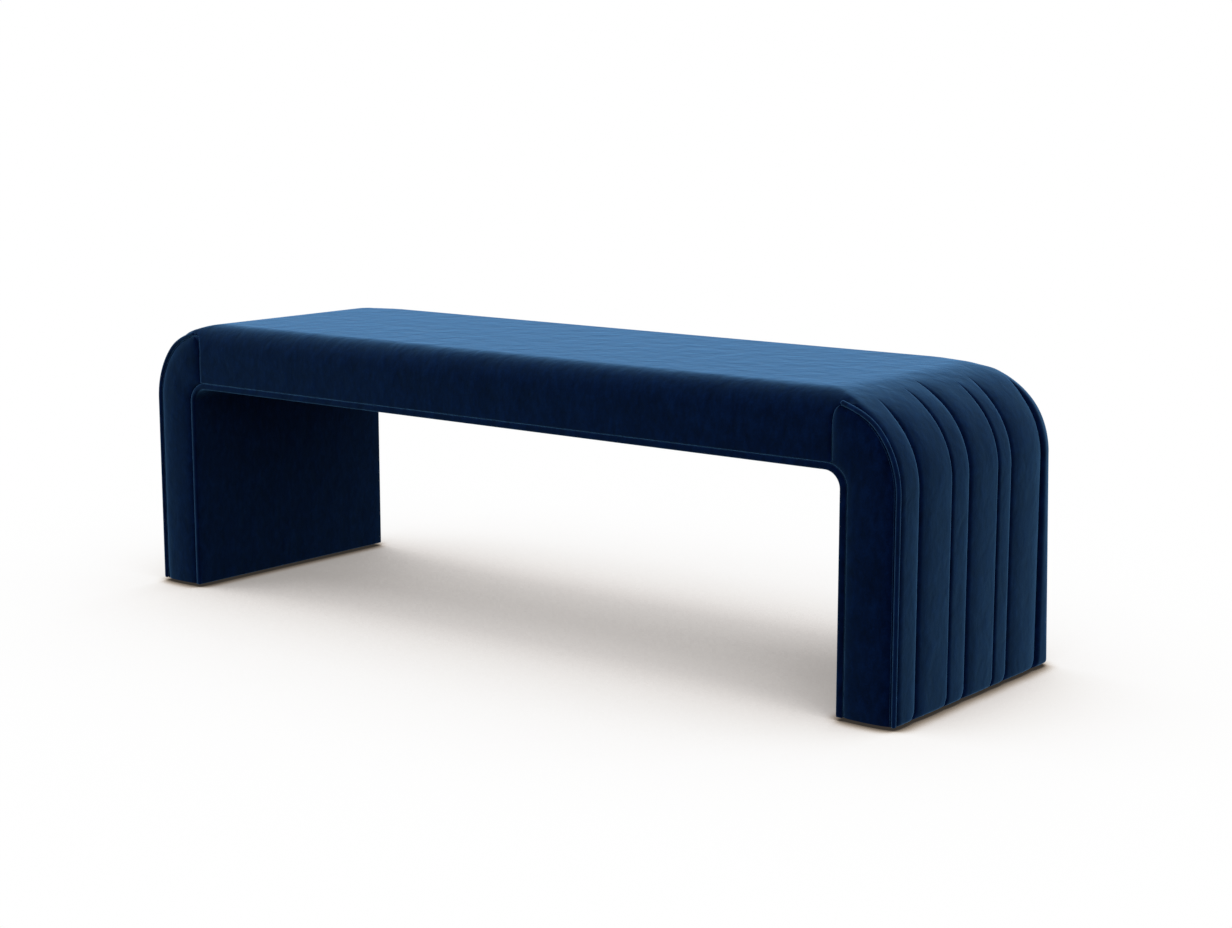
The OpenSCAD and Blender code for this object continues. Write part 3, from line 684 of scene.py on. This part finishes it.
def seat_face(face, rings):
    """The seat's front or back, from its rounding to the liner and the facings."""
    sign = -1 if face == "front" else 1
    upright = [r for r in rings if r["into"][0] == 0]
    part = Mesh()
    part.grid([face_points(r, face, np.linspace(r[face]["depth"], r[face]["low"], 10))
               for r in rings])
    # Below the deck the face goes on to the liner, in front of the seat rail
    tall = DECK_Z - APRON_Z
    falls = tall * np.array([0, 0.2, 0.4, 0.6, 0.75, 0.86, 0.93, 0.955, 0.975, 0.99, 1])
    lower = [face_points(r, face, r[face]["low"] + falls) for r in upright]
    part.grid(lower)
    part.grid([[(r["at"][0], sign * RIB_Y, DECK_Z - f) for f in falls] for r in upright])
    part.grid([[points[-1], (r["at"][0], sign * RIB_Y, APRON_Z)]
               for r, points in zip(upright, lower)])
    part.grid([[(r["at"][0], sign * RIB_Y, DECK_Z),
                (r["inner"][0], sign * RIB_Y, r["inner"][1])] for r in upright])
    # Beside the facing's round seam, the body's edge turns in at the seam
    rims = []
    for r in [upright[-1]] + [r for r in rings if r["into"][0] != 0]:
        seam = face_points(r, face, np.array([r[face]["low"]]))[0]
        rims.append([seam, (seam[0], sign * RIB_Y, seam[2]),
                     (r["inner"][0], sign * RIB_Y, r["inner"][1])])
    part.grid(rims)
    return part


def body_half():
    """The right half of the body, without its flat ends."""
    half = Mesh()
    half.grid([ring_points(r) for r in BODY_RINGS])
    inner_ys = np.linspace(-RIB_Y, RIB_Y, 13)
    half.grid([[(r["inner"][0], y, r["inner"][1]) for y in inner_ys] for r in BODY_RINGS])
    seat = [r for r in BODY_RINGS if r["front"]["low"] is not None]
    ends = [r for r in BODY_RINGS if r["front"]["low"] is None]
    for face, sign in (("front", -1), ("back", 1)):
        half.add(seat_face(face, seat))
        # Beside the piping, the panel's edge turns in behind it
        rims = []
        for r in [seat[-1]] + ends:
            at, into, height = r["at"], r["into"], r.get("height", CLEAR)
            reach, depth = r[face]["rim"]
            behind = PIPING_D + piping_sink(face, r["angle"], height) \
                + FLOOR_TURN * float(roll(height, BOTTOM_R, BOTTOM_R))
            behind = max(behind, depth + GAP)
            steps = [(reach, depth), (reach, behind), (RIB_Y, behind + GAP)]
            rims.append([(at[0] + into[0] * d, sign * y, at[1] + into[1] * d) for y, d in steps]
                        + [(r["inner"][0], sign * RIB_Y, r["inner"][1])])
        half.grid(rims)
    return half


def make_body():
    """Both halves of the body as one mesh."""
    half = body_half()
    whole = Mesh()
    whole.add(half)
    whole.add(half.mirrored(x=-1))
    return whole


# Leg facings
LIP_R = OPENING_R + LINER_T + GAP
LIP_ANGLE = math.degrees(math.acos((FACING_X + GAP - CORNER_X) / LIP_R))
FACING_R = SHOULDER_R - PIPING_D - GAP
LIP_SIDE, DECK_SIDE = 40, 56     # angles on the shoulder level with lip and deck
INNER_ROLL = (12 * MM, 3.2 * MM)     # its rolled edges: width and depth
OUTER_ROLL = (16 * MM, 5.5 * MM)
FACING_DOME = 3.0 * MM           # how far the middle stands in front of the sides
FACING_PROUD = 2.0 * MM          # and in front of the seat
FACING_FOOT = 1.5 * MM           # how far it draws back at the floor
FOOT_REACH = 28 * MM             # and over what height
PAD_END = 87                     # where on the tail, of 90, the facing ends
HEM_ROOM = 8 * MM                # the hem ends where the facing is narrower
HEM_BACK = 2.4 * MM              # how far behind the seat's face the hem lies


def facing_rows(face):
    """A facing's outline as rows [inner point, outer point] in the X-Z plane."""
    def outer(a):
        return polar(SHOULDER_X, SHOULDER_Z, FACING_R - piping_sink(face, a), a)
    rows = [(np.array([LEG_IN + LINER_T + GAP, SKIRT_Z + h]),
             np.array([SHOULDER_X + FACING_R - piping_sink(face, 0, h), SKIRT_Z + h]))
            for h in np.concatenate([[0, 0.4, 1.2, 2.5, 4, 6, 9, 14, 20],
                                     np.linspace(28, 320, 30)]) * MM]
    rows += [(polar(CORNER_X, CORNER_Z, LIP_R, LIP_ANGLE * t), outer(LIP_SIDE * t))
             for t in np.linspace(0, 1, 17)[1:]]
    lip_z = rows[-1][0][1]
    rows += [(np.array([FACING_X + GAP, mix(lip_z, DECK_Z, t)]),
              outer(mix(LIP_SIDE, DECK_SIDE, t))) for t in np.linspace(0, 1, 9)[1:]]
    rows += [(tail_seam(face, p) + [GAP, 0],
              outer(mix(DECK_SIDE, TAIL_ANGLE - 0.5, p / PAD_END)))
             for p in (8, 16, 24, 32, 40, 48, 56, 64, 70, 75, 79, 82, 84.5, 86.2, PAD_END)]
    return rows


def make_facing(face):
    """A right facing, as for the front: a domed pad with rolled edges."""
    rows = facing_rows(face)
    across = np.array([0, 0.004, 0.012, 0.025, 0.04, 0.06, 0.1, 0.17, 0.26, 0.38])
    across = np.concatenate([across, [0.5], 1 - across[::-1]])
    inner, outer = np.array([r[0] for r in rows]), np.array([r[1] for r in rows])
    lines = [np.concatenate([np.linspace(a, b, 8)[:-1] for a, b in zip(line, line[1:])])
             for line in (inner, outer)]
    usual = np.hypot(*(outer[0] - inner[0]))
    front, back = [], []
    for a, b in rows:
        points = a + (b - a) * across[:, None]
        gaps = [np.hypot(line[:, 0] - points[:, :1], line[:, 1] - points[:, 1:]).min(1)
                for line in lines]
        edge = np.maximum(roll(gaps[0], *INNER_ROLL), roll(gaps[1], *OUTER_ROLL))
        dome = FACING_DOME * min(1, np.hypot(*(b - a)) / usual) * (2 * across - 1) ** 2
        foot = FACING_FOOT * max(0, 1 - (a[1] - SKIRT_Z) / FOOT_REACH) ** 2
        depth = edge + dome + foot - FACING_PROUD
        front.append(np.stack([points[:, 0], depth - HALF_D, points[:, 1]], 1))
        back.append([(x, -(RIB_Y + GAP), z) for x, z in points])
    front, back = np.array(front), np.array(back)
    pad = Mesh()
    pad.grid(front)
    pad.grid(back)
    for a, b in ((front[0], back[0]), (front[-1], back[-1]),
                 (front[:, 0], back[:, 0]), (front[:, -1], back[:, -1])):
        pad.grid([a, b])
    # The hem: a thin cord under the velvet beside the piping, thinner at its two ends
    line = []
    for a, b in rows:
        width = np.hypot(*(a - b))
        if width > HEM_ROOM:
            line.append(b + (a - b) / width * HEM_IN)
    thin = [min(1, 0.3 + 0.2 * i) for i in range(len(line))]
    pad.add(cord(line, HEM_D / 2 * np.minimum(thin, thin[::-1]), HALF_D - HEM_D / 2 - HEM_BACK))
    return pad


def cord(line, radius, y):
    """A closed cord along a line in the X-Z plane, at the depth y in front."""
    line = np.array(line)
    along = np.gradient(line, axis=0)
    along /= np.hypot(along[:, 0], along[:, 1])[:, None]
    across = np.stack([along[:, 1], -along[:, 0]], 1)
    turns = np.linspace(0, 2 * math.pi, 25)
    tube = Mesh()
    tube.grid([[(p[0] + s[0] * r * math.cos(t), r * math.sin(t) - y,
                 p[1] + s[1] * r * math.cos(t)) for t in turns]
               for p, s, r in zip(line, across, radius)])
    return tube


# Piping
def make_piping(face):
    """A right piping, as for the front: from the floor to its end on the shoulder."""
    r = PIPING_D / 2
    y = HALF_D - r
    heights = np.concatenate([[0, 0.15, 0.6, 1.4, 2.6, 4, 8], np.linspace(20, 320, 20)]) * MM
    line = [(HALF_L - r - piping_sink(face, 0, h), SKIRT_Z + h) for h in heights]
    line += [tuple(polar(SHOULDER_X, SHOULDER_Z, SHOULDER_R - r - piping_sink(face, a), a))
             for a in np.linspace(0, TAIL_ANGLE, 36)[1:]]
    # It is round at the floor and at its end
    shrink = [0.35, 0.62, 0.8, 0.91, 0.975]
    shrink += [1] * (len(line) - len(shrink))
    last, end = np.array(line[-2:])
    ahead = (end - last) / np.hypot(*(end - last))
    for step, size in ((0.5, 0.98), (1.1, 0.92), (1.7, 0.8), (2.2, 0.62), (2.5, 0.4)):
        line.append(tuple(end + ahead * step * MM))
        shrink.append(size)
    return cord(line, np.array(shrink) * r, y)


# Liner
LINER_FOOT = (3 * MM, 1.6 * MM)      # rounding of its edges at the floor


def make_liner():
    """Velvet over the liner boards, turned round their front and back edges."""
    y = HALF_D + BAND_PROUD
    turn = np.radians(np.linspace(0, 90, 9))
    flap = LINER_T + GAP / 2
    tall, back = BAND_ROUND
    edge = [(flap, RIB_Y + GAP / 2), (flap, y - back)]
    edge += [(LINER_T - tall * (1 - math.cos(a)), y - back * (1 - math.sin(a))) for a in turn]
    edge += [(LINER_EDGE_R * (1 - math.sin(a)), y - LINER_EDGE_R * (1 - math.cos(a)))
             for a in turn]
    face = [(0, f) for f in np.linspace(y - LINER_EDGE_R, -(y - LINER_EDGE_R), 31)[1:-1]]
    outer = edge + face + [(n, -v) for n, v in edge[::-1]]
    inner_y = HALF_D - COVER_T + 0.05 * MM
    board = LINER_T + 0.1 * GAP
    inner = [(board, RIB_Y + GAP / 2), (board, inner_y), (COVER_T, inner_y)]
    section = outer + [(n, -v) for n, v in inner] + inner[::-1] + outer[:1]
    path = [((LEG_IN, z), (1, 0)) for z in SKIRT_Z + np.array([0, 0.3, 1, 2, 3.5, 8]) * MM]
    path += [((LEG_IN, z), (1, 0)) for z in np.linspace(SKIRT_Z + 20 * MM, CORNER_Z, 22)]
    for a in np.linspace(0, 90, 17)[1:]:
        c, s = math.cos(math.radians(a)), math.sin(math.radians(a))
        path.append(((CORNER_X + OPENING_R * c, CORNER_Z + OPENING_R * s), (c, s)))
    path += [((x, UNDER_Z), (0, 1)) for x in np.linspace(CORNER_X, -CORNER_X, 64)[1:]]
    right = [p for p in path[:-1] if p[1] != (0, 1)]
    path += [((-p[0][0], p[0][1]), (-p[1][0], p[1][1])) for p in right[::-1]]
    rows = []
    for (x, z), (nx, nz) in path:
        tuck = float(roll(z - SKIRT_Z, *LINER_FOOT))
        rows.append([(x + nx * n, np.clip(v, tuck - y, y - tuck), z + nz * n)
                     for n, v in ((max(n, min(n + tuck, LINER_T)), v) for n, v in section)])
    liner = Mesh()
    liner.grid(rows)
    return liner


# Dust cloths
CLOTH_T = 0.5 * MM
CLOTH_LOW = 0.8 * MM        # how far its edges lie above the cover's lower side
CLOTH_SAG = 0.5 * MM
CLOTH_WAVE = 0.35 * MM
WAVE_TURN = 61              # radians of a wave in a metre


def make_dust_cloth():
    """The right leg's dust cloth: thin, stapled at its edges, a little slack between."""
    low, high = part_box("dust_cover_right")
    xs, ys = np.linspace(low.x, high.x, 15), np.linspace(low.y, high.y, 49)
    top, bottom = [], []
    for x in xs:
        u = (x - low.x) / (high.x - low.x)
        v = (ys - low.y) / (high.y - low.y)
        slack = 16 * u * (1 - u) * v * (1 - v)
        waves = CLOTH_WAVE * np.sin(ys * WAVE_TURN + 3 * u) * np.sin(u * math.pi)
        z = low.z + CLOTH_LOW - CLOTH_SAG * slack + waves
        bottom.append([(x, y, k) for y, k in zip(ys, z)])
        top.append([(x, y, k + CLOTH_T) for y, k in zip(ys, z)])
    cloth = Mesh()
    top, bottom = np.array(top), np.array(bottom)
    cloth.grid(top)
    cloth.grid(bottom)
    for a, b in ((top[0], bottom[0]), (top[-1], bottom[-1]),
                 (top[:, 0], bottom[:, 0]), (top[:, -1], bottom[:, -1])):
        cloth.grid([a, b])
    return cloth


# All pieces
def add_piece(mesh, name, material, slot, *nodes):
    """Makes the object, which stands for the CAD nodes."""
    piece = mesh.piece(name, material)
    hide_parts(*nodes)
    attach(piece, "root")
    return piece


body = add_piece(make_body(), "velvet_body", VELVET, "velvet",
                 "seat_cover", "seat_wadding", "seat_foam",
                 "end_panel_left", "end_panel_right", "end_foam_left", "end_foam_right",
                 "shoulder_foam_left", "shoulder_foam_right")
dust = make_dust_cloth()
for face, sy in (("front", 1), ("back", -1)):
    facing, piping = make_facing(face), make_piping(face)
    for side, sx in (("left", -1), ("right", 1)):
        corner = f"{side}_{face}"
        pad = add_piece(facing.mirrored(sx, sy), f"facing_pad_{corner}", VELVET, "velvet",
                        f"facing_cover_{corner}", f"facing_foam_{corner}")
        add_piece(piping.mirrored(sx, sy), f"piping_cord_{corner}", PAINTED_LIGHT_PIPING_VELVET, "velvet",
                  f"piping_{corner}")
for side, sx in (("left", -1), ("right", 1)):
    cloth = add_piece(dust.mirrored(sx), f"dust_cloth_{side}", DUST, "dust_cloth",
                      f"dust_cover_{side}")
add_piece(make_liner(), "liner_velvet", VELVET, "velvet", "liner_cover")

# Frame, screws, feet
BEECH_X = wood("beech_along_bench", (0.50, 0.33, 0.20), (0.33, 0.19, 0.10), "X", 25)
BEECH_Y = wood("beech_across_bench", (0.50, 0.33, 0.20), (0.33, 0.19, 0.10), "Y", 25)
PLYWOOD, STEEL, NYLON = plywood(), steel(), nylon()
FINISH = {
    "rib_": PLYWOOD, "seat_deck": PLYWOOD, "seat_liner_board": PLYWOOD, "end_skin": PLYWOOD,
    "leg_liner_board": PLYWOOD, "corner_cove": PLYWOOD,
    "front_seat_rail": BEECH_X, "back_seat_rail": BEECH_X, "seat_slat": BEECH_Y,
    "deck_rail": BEECH_Y, "shoulder_rail": BEECH_Y, "middle_rail": BEECH_Y,
    "foot_rail": BEECH_Y, "corner_blocks": BEECH_Y,
    "rail_screws": STEEL, "slat_screws": STEEL, "lap_screws": STEEL, "deck_screws": STEEL,
    "liner_screws": STEEL, "glide_nails": STEEL, "glides": NYLON,
}
for name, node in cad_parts.items():
    for start, material in FINISH.items():
        if name.startswith(start):
            node.data.materials.clear()
            node.data.materials.append(material)


# Floor and light
FLOOR_SIZE = 60
SHADE_REACH = 3.0           # how far off a thing still shades the floor
CONTACT_REACH = 35 * MM
DULL_FLOOR = (0.15, 0.15, 0.15, 1)
# The floor's light at each share of open sky
FLOOR_SHADE = ((0.30, (0.33, 0.31, 0.295)), (0.36, (0.41, 0.386, 0.368)),
               (0.44, (0.475, 0.448, 0.436)), (0.48, (0.575, 0.548, 0.525)),
               (0.57, (0.74, 0.705, 0.685)), (0.64, (0.845, 0.82, 0.80)),
               (0.72, (0.905, 0.89, 0.875)), (0.80, (0.955, 0.945, 0.94)),
               (0.90, (0.99, 0.99, 0.99)), (0.97, (1.0, 1.0, 1.0)))
# And what is left of it close to the legs
CONTACT_SHADE = ((0.40, (0.11, 0.10, 0.09)), (0.54, (0.30, 0.26, 0.215)),
                 (0.64, (0.49, 0.43, 0.36)), (0.73, (0.72, 0.67, 0.62)),
                 (0.84, (0.95, 0.93, 0.91)), (0.92, (1.0, 1.0, 1.0)))


def make_floor():
    """A pale floor with the bench's soft shadow."""
    bpy.ops.mesh.primitive_plane_add(size=FLOOR_SIZE, location=(0, 0, 0))
    floor = bpy.context.object
    floor.name = "floor"
    material, n = new_material("pale_floor")
    # What the camera sees is the shade under and round the bench: the share of the
    # sky that each place has, as the light of a softer, warmer shadow. The light that
    # the floor throws back on the bench stays that of a dull floor.
    shade = n.new("ShaderNodeAmbientOcclusion")
    shade.inputs["Distance"].default_value = SHADE_REACH
    close = n.new("ShaderNodeAmbientOcclusion")
    close.inputs["Distance"].default_value = CONTACT_REACH
    both = n.new("ShaderNodeMix", data_type="RGBA", blend_type="MULTIPLY")
    both.inputs["Factor"].default_value = 1.0
    n.link(n.ramp(shade.outputs["AO"], *FLOOR_SHADE), both.inputs["A"])
    n.link(n.ramp(close.outputs["AO"], *CONTACT_SHADE), both.inputs["B"])
    seen_floor = n.new("ShaderNodeEmission")
    n.link(both.outputs["Result"], seen_floor.inputs["Color"])
    ray = n.new("ShaderNodeLightPath")
    seen = n.math("MAXIMUM", ray.outputs["Is Camera Ray"], ray.outputs["Is Glossy Ray"])
    seen = n.math("MAXIMUM", seen, ray.outputs["Is Transmission Ray"])
    blend = n.new("ShaderNodeMixShader")
    n.link(seen, blend.inputs["Fac"])
    n.link(n.shader.outputs["BSDF"], blend.inputs[1])
    n.link(seen_floor.outputs["Emission"], blend.inputs[2])
    n.link(blend.outputs["Shader"], n.tree.nodes["Material Output"].inputs["Surface"])
    n.set(Base_Color=DULL_FLOOR, Roughness=1.0, Specular_IOR_Level=0.0)
    floor.data.materials.append(material)


def make_world():
    """Even white light from all round, as in a light tent."""
    world = bpy.data.worlds.new("studio")
    bpy.context.scene.world = world
    world.use_nodes = True
    background = world.node_tree.nodes["Background"]
    background.inputs["Color"].default_value = (1, 1, 1, 1)
    background.inputs["Strength"].default_value = 1.0


def make_camera():
    """The photograph's view, fitted to its corners, edges and seams."""
    data = bpy.data.cameras.new("photo_view")
    camera = bpy.data.objects.new("photo_view", data)
    bpy.context.scene.collection.objects.link(camera)
    yaw, pitch, lens_px, frame_px = 0.6678, 0.1734, 2226.4, 1232
    data.sensor_width = 36
    data.lens = lens_px / frame_px * data.sensor_width
    camera.location = (2.2601, -2.7508, 0.8820)
    camera.rotation_euler = (math.pi / 2 - pitch, 0, yaw)
    data.clip_end = 200
    bpy.context.scene.camera = camera


make_floor()
make_world()
make_camera()
bpy.context.scene.view_settings.view_transform = "Standard"
